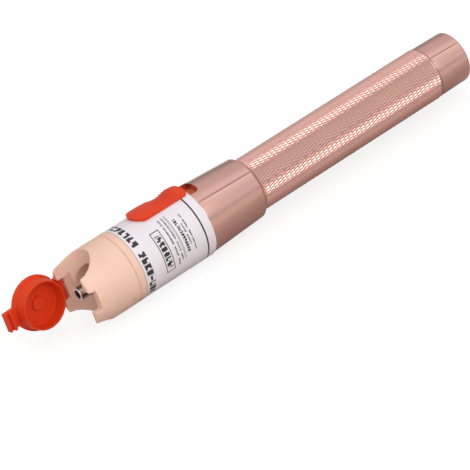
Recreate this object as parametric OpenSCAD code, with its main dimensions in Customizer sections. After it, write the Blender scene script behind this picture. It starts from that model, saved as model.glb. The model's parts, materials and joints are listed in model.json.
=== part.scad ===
// Pen-type visual fault locator. X runs from the nose to the tail along the pen's axis, Z points to
// the slide switch, and the origin is the middle of the optical port's mouth. Millimetres.

/* [Nose] */
// Length of the nose shroud, from its front edge to the groove behind it
nose_len = 18.2; // [17:0.1:22]
// Radius of the nose at its front edge
nose_front_r = 12.1; // [11.8:0.1:12.8]
// Radius of the nose behind its taper
nose_rear_r = 13.1; // [12.9:0.1:14]
// Length of the taper behind the front edge
nose_taper_len = 8; // [5:0.5:12]
// Width of the slot between the two jaws
mouth_w = 16.6; // [15.6:0.1:17]
// Depth of the slot between the two jaws
mouth_depth = 9.6; // [8.6:0.1:10.6]
// Radius of the bore around the port
nose_bore_r = 7.2; // [6.8:0.1:7.6]
// Depth of the bore around the port
nose_bore_depth = 12; // [11:0.1:13]
// Thickness of the wall that carries the port
nose_wall = 2.2; // [1.6:0.1:2.6]

/* [Optical port] */
// Radius of the bore that takes a 2.5 mm ferrule
port_bore_r = 1.255; // [0.63:0.005:1.3]
// Distance of the port's mouth behind the nose's front edge
port_recess = 1.4; // [1.2:0.1:3]
// Outer radius of the port's tube
port_r = 2.4; // [2.2:0.05:2.6]
// Outer radius of the ceramic sleeve in the port
sleeve_r = 1.65; // [1.5:0.05:1.8]
// Length of the ceramic sleeve
sleeve_len = 11.5; // [9:0.5:13]
// Radius of the port's threaded shank
shank_r = 3.4; // [3:0.1:3.8]
// Length of the port's threaded shank
shank_len = 5; // [4.6:0.1:6]

/* [Dust cap] */
// Radius of the cap's disc
cap_r = 9.6; // [9.3:0.1:10.2]
// Thickness of the cap's disc
cap_disc_t = 1.5; // [1:0.1:2]
// Outer radius of the cup's wall at the cap's disc
cap_ring_r = 8.8; // [8.3:0.1:8.9]
// Height of the cup's wall
cap_ring_h = 4.8; // [3:0.1:5]
// Angle by which the cap stands open at rest
cap_open_angle = 85; // [60:1:100]
// Width of the hinge tab
hinge_tab_w = 7.4; // [6:0.1:8]
// Radius of the hinge pin
hinge_pin_r = 0.6; // [0.5:0.05:0.8]
// Width of the latch tab
latch_tab_w = 7; // [5:0.1:7.4]
// Length of the latch tab beyond the disc
latch_tab_len = 3.8; // [3:0.1:5]

/* [Front tube and label] */
// Length of the bare band between the nose and the label
band_len = 2.6; // [2:0.1:5]
// Length of the label
label_len = 30.1; // [29:0.1:34]
// Outer radius of the label
label_r = 13; // [12.9:0.05:13.6]
// Thickness of the label sleeve
label_t = 0.3; // [0.2:0.05:0.5]
// Radius of the front tube's bore
tube_bore_r = 9.4; // [9.3:0.05:9.6]
// Outer radius of the spigot that the barrel slides over
spigot_r = 10.6; // [10.4:0.05:10.8]
// Length of the spigot inside the barrel
spigot_len = 10.6; // [8:0.1:12]

/* [Slide switch] */
// Length of the orange thumb slider
knob_len = 21.7; // [20:0.1:23]
// Width of the thumb slider
knob_w = 10; // [8:0.1:11]
// Height of the slider's humps above the label
knob_rise = 1.6; // [1.2:0.05:2]
// Height by which the slider's rear hump stays below its front one
knob_fall = 0.4; // [0:0.05:0.6]
// Travel of the slider from off, over on, to pulse
knob_travel = 4; // [2:0.1:4]
// Distance of the slider's front end behind the label's front edge
knob_offset = 8.2; // [7:0.1:9]

/* [Barrel] */
// Length of the smooth collar
collar_len = 23.6; // [21:0.1:26]
// Radius of the collar at its front edge
collar_front_r = 12.7; // [12.6:0.05:12.9]
// Radius of the collar at its rear end
collar_rear_r = 11.5; // [11.2:0.1:12]
// Length of the chamfer behind the collar
chamfer_len = 3.6; // [2:0.1:5]
// Length of the plain band between the chamfer and the knurl
plain_len = 0.7; // [0.5:0.1:2]
// Radius over the knurl
knurl_r = 10; // [9.9:0.05:10.6]
// Length of the knurled grip
knurl_len = 79.7; // [79:0.1:90]
// Depth of the notch in the collar's front edge
notch_depth = 4.6; // [4.2:0.1:5.4]

/* [Tail cap] */
// Length of the tail cap that shows
tail_len = 14; // [11:0.1:16]
// Radius of the tail cap
tail_r = 9.8; // [9.6:0.05:10]
// Thickness of the tail cap's end wall
tail_wall = 2.2; // [1.6:0.1:3]
// Length of the tail cap's threaded spigot
tail_spigot_len = 9.1; // [7:0.1:11]
// Outer radius of the tail cap's threaded spigot
tail_spigot_r = 8.7; // [8.6:0.05:8.9]

/* [Cells] */
// Radius of one cell
cell_r = 7.2; // [7:0.05:7.25]
// Length of one cell with its terminal
cell_len = 50.4; // [49.5:0.1:50.5]

/* [Hidden] */
$fn = 72;

// Overrun of a cut past the face that it opens
over = 1;
// Clearance of a running fit, and of a seat between two fixed pieces
run_gap = 0.05;
seat_gap = 0.1;
// Gap between pieces that move past each other
free_gap = 0.3;
// Small edge break on turned and moulded edges
edge = 0.4;

// Stations along the axis
front_x = -port_recess;
nose_end_x = front_x + nose_len;
label_x = nose_end_x + band_len;
collar_x = label_x + label_len;
collar_end_x = collar_x + collar_len;
chamfer_end_x = collar_end_x + chamfer_len;
knurl_x = chamfer_end_x + plain_len;
knurl_end_x = knurl_x + knurl_len;
rear_band_len = 0.4;
seam_x = knurl_end_x + rear_band_len;
tail_end_x = seam_x + tail_len + seat_gap;

// Nose
wall_x = front_x + nose_bore_depth;
socket_x = wall_x + nose_wall;
groove_w = 0.5;
groove_t = 0.35;
hinge_back = 1.3;
hinge_x = front_x + hinge_back;
hinge_inset = 2.1;
hinge_y = nose_front_r - hinge_inset;
knuckle_r = 1.15;
hinge_notch_w = hinge_tab_w + 2 * free_gap;
hinge_notch_depth = hinge_back + knuckle_r + free_gap;
latch_notch_w = latch_tab_w + 2 * free_gap;
latch_notch_depth = 2.4;
mouth_r = mouth_w / 2;
mouth_x = front_x + mouth_depth - mouth_r;

// Port, its nut and the light source
flange_r = 4.6;
flange_t = 1.4;
nut_r = 5.4;
nut_t = 2.3;
shank_end_x = wall_x + shank_len;
beam_r = 1;
housing_r = 4.6;
housing_len = 17.4;
housing_bore_r = 3;
housing_lip = 1.2;
lens_seat_r = 2.4;
lens_r = housing_bore_r - run_gap;
lens_t = 2;
lens_dome_r = 4.2;
lens_x = shank_end_x + housing_lip;
diode_can_r = 2.1;
diode_can_len = 2.4;
diode_flange_r = 2.8;
diode_flange_t = 1.2;
lead_r = 0.22;
lead_offset = 1.27;
lead_reach = 1.8;
focus_gap = 5.2;
diode_x = lens_x + lens_t + focus_gap;
lead_x = diode_x + diode_can_len + diode_flange_t;
ring_r = housing_bore_r - run_gap;
ring_bore_r = 1.9;
ring_len = 2.2;
focus_wire_r = 0.25;
focus_turns = 4;
focus_coil_r = lens_r - focus_wire_r - seat_gap;

// Dust cap
cap_ring_t = 0.9;
cap_ring_draft = 0.3;
cap_boss_r = 2.3;
cap_boss_h = 1.1;
cap_seat_r = cap_ring_r + free_gap;
cap_seat_depth = cap_ring_h + free_gap;
cap_dome_t = 0.7;
cap_flat_y = mouth_r - seat_gap;
latch_rib_w = 0.9;
latch_rib_h = 1.5;
latch_rib_inset = 1.2;
latch_lip_w = 0.8;
latch_lip_h = 0.7;

// Front tube and the slider's way through it
tube_r = label_r - label_t - run_gap;
nose_rim_t = 1.9;
nose_spigot_r = nose_rear_r - nose_rim_t;
nose_socket_r = nose_spigot_r + run_gap;
nose_spigot_len = nose_end_x - socket_x - seat_gap;
spigot_end_x = collar_x + spigot_len;
knob_x = label_x + knob_offset;
knob_end_x = knob_x + knob_len;
stem_w = 3.8;
stem_len = 9;
stem_back = 7;
stem_x = knob_x + stem_back;
stem_reach = 2.6;
stem_bottom_z = tube_bore_r - stem_reach;
slot_w = stem_w + 2 * free_gap;
plate_w = 6.4;
plate_t = 0.8;
plate_sink = 0.35;
plate_top_z = tube_r - plate_sink;
plate_back = 3;
plate_x = knob_x + plate_back;
plate_end_x = collar_x + notch_depth - knob_travel - free_gap;
recess_w = plate_w + 2 * free_gap;
recess_z = plate_top_z - plate_t - free_gap;

// Thumb slider
knob_bottom_r = label_r + seat_gap + run_gap;
knob_tail_r = 1.8;
// Height of the slider's dip as a share of its humps', and where along it the dip starts, is lowest and ends
knob_dip_share = 0.28;
dip_start_share = 0.34;
dip_low_share = 0.64;
dip_end_share = 0.9;

// Collar notch
notch_w = knob_w;
notch_corner_r = 2;

// Circuit board and what it carries
board_t = 1.2;
board_w = 15;
board_top_z = -0.25;
board_x = shank_end_x + housing_len + seat_gap;
lead_len = board_x + lead_reach - lead_x;
carrier_wall_t = 2;
carrier_end_x = spigot_end_x + carrier_wall_t;
contact_t = 0.5;
board_end_x = spigot_end_x - contact_t - seat_gap;
switch_len = 12;
switch_w = 5.2;
switch_h = 4.8;
lever_len = 2;
lever_w = 1.6;
lever_reach = 1.8;
lever_top_z = stem_bottom_z + lever_reach;
lever_x = stem_x + stem_len / 2;
switch_x = lever_x + knob_travel / 2;
lever_slot_depth = 1.2;
chip_len = 5;
chip_w = 4;
chip_t = 1.5;
capacitor_r = 2;
capacitor_h = 5.4;
trimmer_w = 3.2;
trimmer_h = 2.6;
trimmer_dial_r = 1.1;
trimmer_dial_t = 0.5;
carrier_r = tube_bore_r - seat_gap;
carrier_t = 1.2;
screw_r = 0.8;
screw_head_r = 1.5;
screw_head_t = 0.9;
screw_boss_r = 1.9;
screw_y = 5.2;
screw_depth = 3;
board_bottom_z = board_top_z - board_t;
rear_row_x = switch_x + switch_len / 2;
rear_row_len = board_end_x - rear_row_x;
// Places of the parts behind the switch, as shares of the room there: each part has a lane of its own
chip_share = 0.72;
capacitor_share = 0.15;
trimmer_share = 0.6;
screw_shares = [0.12, 0.8];
// The side of the axis on which each screw sits
screw_side_shares = [1, -1];

// Contact, cells and barrel bore
contact_r = 4.6;
rivet_r = 1.1;
rivet_head_r = 1.9;
contact_x = carrier_end_x;
cell_x = contact_x + contact_t;
cell_tip_r = 2.75;
cell_tip_len = 1;
cell_edge = 0.6;
cells_end_x = cell_x + 2 * cell_len;
cell_gap = 0.4;
barrel_bore_r = cell_r + cell_gap;
collar_bore_r = spigot_r + seat_gap;
collar_bore_end_x = carrier_end_x + seat_gap;
tail_bore_r = tail_spigot_r + run_gap;
tail_bore_x = seam_x - tail_spigot_len - free_gap;

// Tail cap, its spring and the seals
tail_inner_r = barrel_bore_r - run_gap;
tail_floor_x = tail_end_x - tail_wall;
tail_round = 1;
tail_taper = 0.12;
ring_section_r = 0.3;
ring_groove_w = 0.8;
tail_ring_back = 1.6;
tail_ring_x = seam_x - tail_ring_back;
front_ring_x = collar_x + notch_depth + ring_groove_w / 2;
tail_ring_r = tail_bore_r - ring_section_r - run_gap;
front_ring_r = collar_bore_r - ring_section_r - run_gap;
ring_groove_t = ring_section_r + run_gap;
spring_wire_r = 0.35;
spring_turns = 3;
spring_wide_r = 6.2;
spring_narrow_r = 3.4;
coil_rings = 8;
coil_sides = 6;
// Half of the hinge pin's length: it ends just inside the jaw's two horns
pin_half = sqrt(nose_front_r * nose_front_r - hinge_y * hinge_y) - edge;

// A turned solid: the outline's points are a radius and a station
module turned(outline) {
    rotate([0, 90, 0]) rotate_extrude() polygon(outline);
}

// A round rod along the axis
module rod(x, len, r) {
    translate([x, 0, 0]) rotate([0, 90, 0]) cylinder(h = len, r = r);
}

// A round tube along the axis
module tube(x, len, r_out, r_in) {
    difference() {
        rod(x, len, r_out);
        rod(x - over, len + 2 * over, r_in);
    }
}

// A box centred across Y, from its low X and Z
module block(x, z, len, w, h) {
    translate([x, -w / 2, z]) cube([len, w, h]);
}

// A rubber ring in a groove
module seal(x, mid_r, section_r) {
    translate([x, 0, 0]) rotate([0, 90, 0]) rotate_extrude()
        translate([mid_r, 0]) circle(r = section_r);
}

// Centre of a coil's wire at step i, with the coil's radius going from ra to rb
function coil_r(i, last, ra, rb) = ra + (rb - ra) * i / last;
function coil_point(i, j, last, len, ra, rb, wire) =
    let (turn = 360 * i / coil_rings, side = 360 * j / coil_sides,
         r = coil_r(i, last, ra, rb) + wire * cos(side))
    [len * i / last + wire * sin(side), r * cos(turn), r * sin(turn)];

// A coil of round wire along X, from x on
module coil(x, len, ra, rb, turns, wire) {
    last = turns * coil_rings;
    points = [for (i = [0:last]) for (j = [0:coil_sides - 1]) coil_point(i, j, last, len, ra, rb, wire)];
    sides = [for (i = [0:last - 1]) for (j = [0:coil_sides - 1]) let (k = (j + 1) % coil_sides)
        each [[i * coil_sides + j, i * coil_sides + k, (i + 1) * coil_sides + j],
              [i * coil_sides + k, (i + 1) * coil_sides + k, (i + 1) * coil_sides + j]]];
    start = [[for (j = [coil_sides - 1:-1:0]) j]];
    end = [[for (j = [0:coil_sides - 1]) last * coil_sides + j]];
    translate([x, 0, 0])
        polyhedron(points = points, faces = concat(sides, start, end), convexity = turns + 1);
}

// The slot between the jaws: straight sides and a full round bottom
module mouth_cut() {
    translate([mouth_x, 0, -nose_rear_r - over]) cylinder(h = 2 * (nose_rear_r + over), r = mouth_r);
    translate([front_x - over, -mouth_r, -nose_rear_r - over])
        cube([mouth_x - front_x + over, mouth_w, 2 * (nose_rear_r + over)]);
}

module nose_shroud() {
    color("peachpuff") difference() {
        turned([[0, front_x], [nose_front_r - edge, front_x], [nose_front_r, front_x + edge],
                [nose_rear_r, front_x + nose_taper_len], [nose_rear_r, nose_end_x - groove_w],
                [nose_rear_r - groove_t, nose_end_x], [0, nose_end_x]]);
        rod(front_x - over, nose_bore_depth + over, nose_bore_r);
        rod(socket_x, nose_end_x - socket_x + over, nose_socket_r);
        rod(wall_x - over, nose_wall + 2 * over, shank_r + run_gap);
        mouth_cut();
        rod(front_x - over, cap_seat_depth + over, cap_seat_r);
        translate([front_x - over, mouth_r - over, -hinge_notch_w / 2])
            cube([hinge_notch_depth + over, nose_front_r, hinge_notch_w]);
        translate([front_x - over, -nose_front_r - mouth_r + over, -latch_notch_w / 2])
            cube([latch_notch_depth + over, nose_front_r, latch_notch_w]);
        translate([hinge_x, hinge_y, -mouth_r]) cylinder(h = 2 * mouth_r, r = hinge_pin_r);
    }
}

module hinge_pin() {
    color("silver") translate([hinge_x, hinge_y, -pin_half]) cylinder(h = 2 * pin_half, r = hinge_pin_r);
}

// The cap as it lies when it is closed over the nose
module closed_cap() {
    face_x = front_x - seat_gap;
    difference() {
        union() {
            difference() {
                union() {
                    rod(face_x - cap_disc_t, cap_disc_t, cap_r);
                    turned([[0, face_x - cap_disc_t - cap_dome_t],
                            [cap_r - cap_dome_t - edge, face_x - cap_disc_t - cap_dome_t],
                            [cap_r - edge, face_x - cap_disc_t], [0, face_x - cap_disc_t]]);
                }
                translate([face_x - cap_disc_t - cap_dome_t - over, cap_flat_y, -cap_r])
                    cube([cap_disc_t + cap_dome_t + 2 * over, cap_r, 2 * cap_r]);
            }
            turned([[cap_ring_r, face_x - seat_gap], [cap_ring_r, face_x],
                    [cap_ring_r - cap_ring_draft, face_x + cap_ring_h],
                    [cap_ring_r - cap_ring_t, face_x + cap_ring_h],
                    [cap_ring_r - cap_ring_t - cap_ring_draft, face_x],
                    [cap_ring_r - cap_ring_t - cap_ring_draft, face_x - seat_gap]]);
            rod(face_x - seat_gap, cap_boss_h + seat_gap, cap_boss_r);
            translate([face_x - cap_disc_t, cap_flat_y - knuckle_r, -hinge_tab_w / 2])
                cube([cap_disc_t, hinge_y - cap_flat_y + knuckle_r, hinge_tab_w]);
            translate([hinge_x, hinge_y, -hinge_tab_w / 2]) cylinder(h = hinge_tab_w, r = knuckle_r);
            translate([face_x - cap_disc_t, hinge_y - knuckle_r, -hinge_tab_w / 2])
                cube([hinge_x - face_x + cap_disc_t, knuckle_r, hinge_tab_w]);
            translate([face_x - cap_disc_t, -cap_r - latch_tab_len, -latch_tab_w / 2])
                cube([cap_disc_t, latch_tab_len + cap_r - cap_ring_r, latch_tab_w]);
            translate([face_x, -nose_front_r + latch_rib_inset - latch_rib_w, -latch_tab_w / 2])
                cube([latch_rib_h, latch_rib_w, latch_tab_w]);
            translate([face_x, -cap_r - latch_tab_len, -latch_tab_w / 2])
                cube([latch_lip_h, latch_lip_w, latch_tab_w]);
        }
        translate([hinge_x, hinge_y, -hinge_tab_w]) cylinder(h = 2 * hinge_tab_w, r = hinge_pin_r + run_gap);
    }
}

module dust_cap() {
    color("orangered") translate([hinge_x, hinge_y, 0]) rotate([0, 0, -cap_open_angle])
        translate([-hinge_x, -hinge_y, 0]) closed_cap();
}

module ferrule_barrel() {
    color("silver") difference() {
        union() {
            turned([[0, 0], [port_r - edge / 2, 0], [port_r, edge / 2], [port_r, wall_x - flange_t],
                    [0, wall_x - flange_t]]);
            rod(wall_x - flange_t, flange_t, flange_r);
            rod(wall_x, shank_len, shank_r);
        }
        rod(-over, sleeve_len + over, sleeve_r + run_gap / 2);
        rod(-over, shank_end_x + 2 * over, beam_r);
    }
}

module ferrule_nut() {
    color("silver") difference() {
        translate([socket_x, 0, 0]) rotate([0, 90, 0]) cylinder(h = nut_t, r = nut_r, $fn = 6);
        rod(socket_x - over, nut_t + 2 * over, shank_r + run_gap);
    }
}

module ceramic_sleeve() {
    color("white") tube(0, sleeve_len, sleeve_r, port_bore_r);
}

module laser_housing() {
    color("gold") difference() {
        rod(shank_end_x, housing_len, housing_r);
        rod(lens_x, housing_len, housing_bore_r);
        rod(shank_end_x - over, housing_len, lens_seat_r);
    }
}

module collimating_lens() {
    color("lightblue") intersection() {
        rod(lens_x, lens_t, lens_r);
        translate([lens_x + lens_t - lens_dome_r, 0, 0]) sphere(r = lens_dome_r);
    }
}

module focus_spring() {
    free_len = diode_x + diode_can_len - lens_x - lens_t - 2 * focus_wire_r - 2 * seat_gap;
    color("silver") coil(lens_x + lens_t + focus_wire_r + seat_gap, free_len, focus_coil_r,
                         focus_coil_r, focus_turns, focus_wire_r);
}

module laser_diode() {
    color("gold") union() {
        rod(diode_x, diode_can_len, diode_can_r);
        rod(diode_x + diode_can_len, diode_flange_t, diode_flange_r);
        for (place = [[-lead_offset, 0], [lead_offset, 0], [0, lead_offset]])
            translate([0, place[0], place[1]]) rod(lead_x, lead_len, lead_r);
    }
}

module diode_ring() {
    color("goldenrod") tube(lead_x, ring_len, ring_r, ring_bore_r);
}

module front_tube() {
    color("peachpuff") difference() {
        union() {
            rod(nose_end_x - nose_spigot_len, nose_spigot_len + over, nose_spigot_r);
            turned([[0, nose_end_x], [nose_rear_r - groove_t, nose_end_x],
                    [nose_rear_r, nose_end_x + groove_w], [nose_rear_r, label_x - edge / 2],
                    [nose_rear_r - edge / 2, label_x], [0, label_x]]);
            rod(label_x, label_len, tube_r);
            rod(collar_x, spigot_len, spigot_r);
        }
        rod(nose_end_x - nose_spigot_len - over, spigot_end_x + nose_spigot_len, tube_bore_r);
        block(stem_x - free_gap, 0, stem_len + knob_travel + 2 * free_gap, slot_w, label_r + over);
        block(plate_x - free_gap, recess_z, collar_x - plate_x + free_gap, recess_w, label_r);
        tube(front_ring_x - ring_groove_w / 2, ring_groove_w, spigot_r + over, front_ring_r - ring_groove_t);
    }
}

module label_sleeve() {
    color("white") difference() {
        tube(label_x, label_len, label_r, label_r - label_t);
        block(plate_x - free_gap, 0, collar_x - plate_x + free_gap + over, recess_w, label_r + over);
    }
}

// Depth of the slider's dip at a share of its length, and the height of its back above the axis there
function dip(s) = s < dip_low_share
    ? sin(max(0, s - dip_start_share) / (dip_low_share - dip_start_share) * 90)
    : cos(min(1, (s - dip_low_share) / (dip_end_share - dip_low_share)) * 90);
function knob_top(s) = label_r + (knob_rise - knob_fall * s) * (1 - (1 - knob_dip_share) * pow(dip(s), 2));
knob_shares = [for (i = [0:24]) i / 24];

// The slider seen from above: a rounded point in front and small corners behind
module knob_plan() {
    intersection() {
        translate([knob_x, -knob_w / 2]) square([knob_len, knob_w]);
        union() {
            translate([knob_x + knob_w / 2 + edge, 0]) circle(r = knob_w / 2 + edge);
            translate([knob_x + knob_w / 2 + edge, -knob_w / 2])
                square([knob_len - knob_w / 2 - edge - knob_tail_r, knob_w]);
            translate([knob_end_x - knob_tail_r - edge, -knob_w / 2 + knob_tail_r])
                square([knob_tail_r + edge, knob_w - 2 * knob_tail_r]);
            for (side = [-1, 1])
                translate([knob_end_x - knob_tail_r, side * (knob_w / 2 - knob_tail_r)])
                    circle(r = knob_tail_r);
        }
    }
}

// The slider's back, turned about the pen's axis
module knob_back() {
    turned(concat([[0, knob_x]], [for (s = knob_shares) [knob_top(s), knob_x + s * knob_len]],
                  [[0, knob_end_x]]));
}

module slide_knob() {
    color("orangered") union() {
        difference() {
            intersection() {
                linear_extrude(height = label_r + knob_rise + over) knob_plan();
                knob_back();
            }
            rod(knob_x - over, knob_len + 2 * over, knob_bottom_r);
        }
        difference() {
            block(stem_x, stem_bottom_z, stem_len, stem_w, knob_bottom_r - stem_bottom_z + seat_gap);
            block(lever_x - lever_len / 2, stem_bottom_z - over, lever_len, lever_w,
                  lever_top_z - stem_bottom_z + over);
        }
        block(plate_x, plate_top_z - plate_t, plate_end_x - plate_x, plate_w, plate_t);
    }
}

module switch_lever() {
    bottom_z = board_top_z + switch_h - lever_slot_depth + free_gap;
    color("dimgray") block(lever_x - lever_len / 2, bottom_z, lever_len, lever_w, lever_top_z - bottom_z);
}

module slide_switch() {
    color("silver") difference() {
        block(switch_x - switch_len / 2, board_top_z, switch_len, switch_w, switch_h);
        block(switch_x - (knob_travel + lever_len) / 2 - free_gap, board_top_z + switch_h - lever_slot_depth,
              knob_travel + lever_len + 2 * free_gap, lever_w + free_gap, lever_slot_depth + over);
    }
}

function row_x(share) = rear_row_x + share * rear_row_len;

module circuit_board() {
    color("green") difference() {
        block(board_x, board_bottom_z, board_end_x - board_x, board_w, board_t);
        for (i = [0, 1])
            translate([row_x(screw_shares[i]), screw_side_shares[i] * screw_y, board_bottom_z - over])
                cylinder(h = board_t + 2 * over, r = screw_r + run_gap);
    }
}

module driver_chip() {
    color("black") translate([row_x(chip_share) - chip_len / 2, trimmer_w / 2 + free_gap, board_top_z])
        cube([chip_len, chip_w, chip_t]);
}

module filter_capacitor() {
    color("slateblue")
        translate([row_x(capacitor_share) + capacitor_r, -trimmer_w / 2 - free_gap - capacitor_r,
                   board_top_z])
            cylinder(h = capacitor_h, r = capacitor_r);
}

module trim_resistor() {
    color("royalblue") union() {
        block(row_x(trimmer_share) - trimmer_w / 2, board_top_z, trimmer_w, trimmer_w, trimmer_h);
        translate([row_x(trimmer_share), 0, board_top_z + trimmer_h])
            cylinder(h = trimmer_dial_t, r = trimmer_dial_r);
    }
}

module board_carrier() {
    color("dimgray") difference() {
        union() {
            difference() {
                tube(board_x, spigot_end_x - board_x, carrier_r, carrier_r - carrier_t);
                block(board_x - over, board_bottom_z, spigot_end_x - board_x + 2 * over,
                      2 * (carrier_r + over), 2 * carrier_r);
            }
            intersection() {
                for (i = [0, 1])
                    translate([row_x(screw_shares[i]), screw_side_shares[i] * screw_y, -carrier_r])
                        cylinder(h = carrier_r + board_bottom_z, r = screw_boss_r);
                rod(board_x, carrier_end_x - board_x, carrier_r - carrier_t / 2);
            }
            rod(spigot_end_x, carrier_wall_t, carrier_r);
        }
        for (i = [0, 1])
            translate([row_x(screw_shares[i]), screw_side_shares[i] * screw_y, board_bottom_z - screw_depth])
                cylinder(h = screw_depth + over, r = screw_r);
        rod(spigot_end_x - over, carrier_wall_t + 2 * over, rivet_r);
    }
}

module board_screws() {
    color("silver") for (i = [0, 1])
        translate([row_x(screw_shares[i]), screw_side_shares[i] * screw_y, 0]) {
            translate([0, 0, board_bottom_z - screw_depth])
                cylinder(h = screw_depth + board_t, r = screw_r);
            translate([0, 0, board_top_z]) cylinder(h = screw_head_t, r = screw_head_r);
        }
}

module front_contact() {
    color("silver") union() {
        rod(contact_x, contact_t, contact_r);
        rod(spigot_end_x, carrier_wall_t + contact_t, rivet_r);
        rod(spigot_end_x - contact_t, contact_t, rivet_head_r);
    }
}

module front_o_ring() {
    color("black") seal(front_ring_x, front_ring_r, ring_section_r);
}

// The notch in the collar's front edge, with rounded inner corners
module collar_notch() {
    far_z = collar_front_r + over;
    block(collar_x - over, 0, notch_depth - notch_corner_r + over, notch_w, far_z);
    block(collar_x - over, 0, notch_depth + over, notch_w - 2 * notch_corner_r, far_z);
    for (side = [-1, 1])
        translate([collar_x + notch_depth - notch_corner_r, side * (notch_w / 2 - notch_corner_r), 0])
            cylinder(h = far_z, r = notch_corner_r);
}

module barrel() {
    color("rosybrown") difference() {
        turned([[0, collar_x], [collar_front_r - edge / 2, collar_x], [collar_front_r, collar_x + edge / 2],
                [collar_rear_r, collar_end_x], [knurl_r - edge / 2, chamfer_end_x],
                [knurl_r - edge / 2, knurl_x - edge / 2], [knurl_r, knurl_x], [knurl_r, knurl_end_x],
                [knurl_r - edge / 2, knurl_end_x + edge / 2], [knurl_r - edge / 2, seam_x], [0, seam_x]]);
        rod(collar_x - over, collar_bore_end_x - collar_x + over, collar_bore_r);
        rod(collar_x, seam_x - collar_x + over, barrel_bore_r);
        rod(tail_bore_x, seam_x - tail_bore_x + over, tail_bore_r);
        collar_notch();
    }
}

module cell(x) {
    turned([[0, x], [cell_tip_r, x], [cell_tip_r, x + cell_tip_len], [cell_r - cell_edge, x + cell_tip_len],
            [cell_r, x + cell_tip_len + cell_edge], [cell_r, x + cell_len - cell_edge],
            [cell_r - cell_edge, x + cell_len], [0, x + cell_len]]);
}

module cell_front() {
    color("seagreen") cell(cell_x);
}

module cell_rear() {
    color("seagreen") cell(cell_x + cell_len);
}

module tail_cap() {
    color("rosybrown") difference() {
        union() {
            turned([[0, seam_x + seat_gap], [tail_r - edge / 2, seam_x + seat_gap],
                    [tail_r, seam_x + seat_gap + edge / 2], [tail_r - tail_taper, tail_end_x - tail_round],
                    [tail_r - tail_taper - tail_round * (1 - cos(45)),
                     tail_end_x - tail_round * (1 - sin(45))],
                    [tail_r - tail_taper - tail_round, tail_end_x], [0, tail_end_x]]);
            rod(seam_x - tail_spigot_len, tail_spigot_len + over, tail_spigot_r);
        }
        rod(seam_x - tail_spigot_len - over, tail_floor_x - seam_x + tail_spigot_len + over, tail_inner_r);
        tube(tail_ring_x - ring_groove_w / 2, ring_groove_w, tail_spigot_r + over,
             tail_ring_r - ring_groove_t);
    }
}

module tail_spring() {
    low_x = cells_end_x + free_gap + spring_wire_r;
    color("silver") coil(low_x, tail_floor_x - free_gap - spring_wire_r - low_x, spring_narrow_r,
                         spring_wide_r, spring_turns, spring_wire_r);
}

module tail_o_ring() {
    color("black") seal(tail_ring_x, tail_ring_r, ring_section_r);
}

nose_shroud();
hinge_pin();
dust_cap();
ferrule_barrel();
ferrule_nut();
ceramic_sleeve();
laser_housing();
collimating_lens();
focus_spring();
laser_diode();
diode_ring();
front_tube();
label_sleeve();
slide_knob();
switch_lever();
slide_switch();
circuit_board();
driver_chip();
filter_capacitor();
trim_resistor();
board_carrier();
board_screws();
front_contact();
front_o_ring();
barrel();
cell_front();
cell_rear();
tail_cap();
tail_spring();
tail_o_ring();
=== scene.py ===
"""Looks of a pen-type visual fault locator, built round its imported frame.

X runs from the nose to the tail along the pen's axis, Z points to the slide switch, and the origin is
the middle of the optical port's mouth. Geometry is in metres. One operator makes each piece or group
of pieces, and the panel lists them in the order in which main() calls them.
"""

import json
import math
from collections import namedtuple

import bmesh
import bpy
from bpy.props import FloatProperty, FloatVectorProperty, IntProperty, PointerProperty
from mathutils import Matrix, Vector


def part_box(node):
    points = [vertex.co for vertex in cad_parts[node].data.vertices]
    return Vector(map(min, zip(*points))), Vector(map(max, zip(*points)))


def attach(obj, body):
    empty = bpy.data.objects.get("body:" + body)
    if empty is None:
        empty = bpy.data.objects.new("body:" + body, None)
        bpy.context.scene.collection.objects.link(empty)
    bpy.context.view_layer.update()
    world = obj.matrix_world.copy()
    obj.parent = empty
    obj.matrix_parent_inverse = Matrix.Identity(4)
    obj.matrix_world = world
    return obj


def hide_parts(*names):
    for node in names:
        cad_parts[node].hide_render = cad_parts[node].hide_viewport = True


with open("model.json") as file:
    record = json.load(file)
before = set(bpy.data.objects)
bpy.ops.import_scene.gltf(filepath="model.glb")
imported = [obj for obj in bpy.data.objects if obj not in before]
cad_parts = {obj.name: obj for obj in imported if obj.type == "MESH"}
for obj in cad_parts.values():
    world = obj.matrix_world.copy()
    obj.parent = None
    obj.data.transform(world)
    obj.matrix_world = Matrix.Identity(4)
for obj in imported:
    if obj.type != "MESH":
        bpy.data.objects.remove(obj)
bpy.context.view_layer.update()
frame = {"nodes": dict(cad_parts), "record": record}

bl_info = {
    "name": "Fault locator pen",
    "version": (1, 0, 0),
    "blender": (4, 5, 0),
    "location": "3D View > Sidebar > Pen",
    "description": "Builds the looks of a pen-type fibre tester round its packed frame",
    "category": "Object",
}

MM = 0.001
# Sides of a turned piece, and steps of its rounded corners and of the notch's
TURN_SIDES = 192
ROUND_STEPS = 4
NOTCH_STEPS = 6
# Steps in one turn of a thread, and sides of its ridge
THREAD_STEPS = 48
THREAD_SIDES = 6
# Lean of a surface, as a cosine, past which it carries no ribs
RIB_LEAST = 0.6
# Bend above which an edge is shaded sharp
SHARP_BEND = math.radians(32)
# Distance below which two points of a mesh are one
WELD = 0.001 * MM


def span(node, axis=0):
    """A node's lowest and highest place along an axis."""
    low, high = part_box(node)
    return low[axis], high[axis]


COLLAR_X, SEAM_X = span("barrel")
TAIL_SPIGOT_X, TAIL_END_X = span("tail_cap")
LABEL_X = span("label_sleeve")[0]
LABEL_R = span("label_sleeve", 1)[1]
COLLAR_R = span("barrel", 1)[1]
TAIL_R = span("tail_cap", 1)[1]
FLOOR_Z = span("nose_shroud", 2)[0]


def length(name, description, millimetres):
    """A length property whose default is given in millimetres."""
    return FloatProperty(name=name, description=description, default=millimetres * MM, unit="LENGTH")


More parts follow.
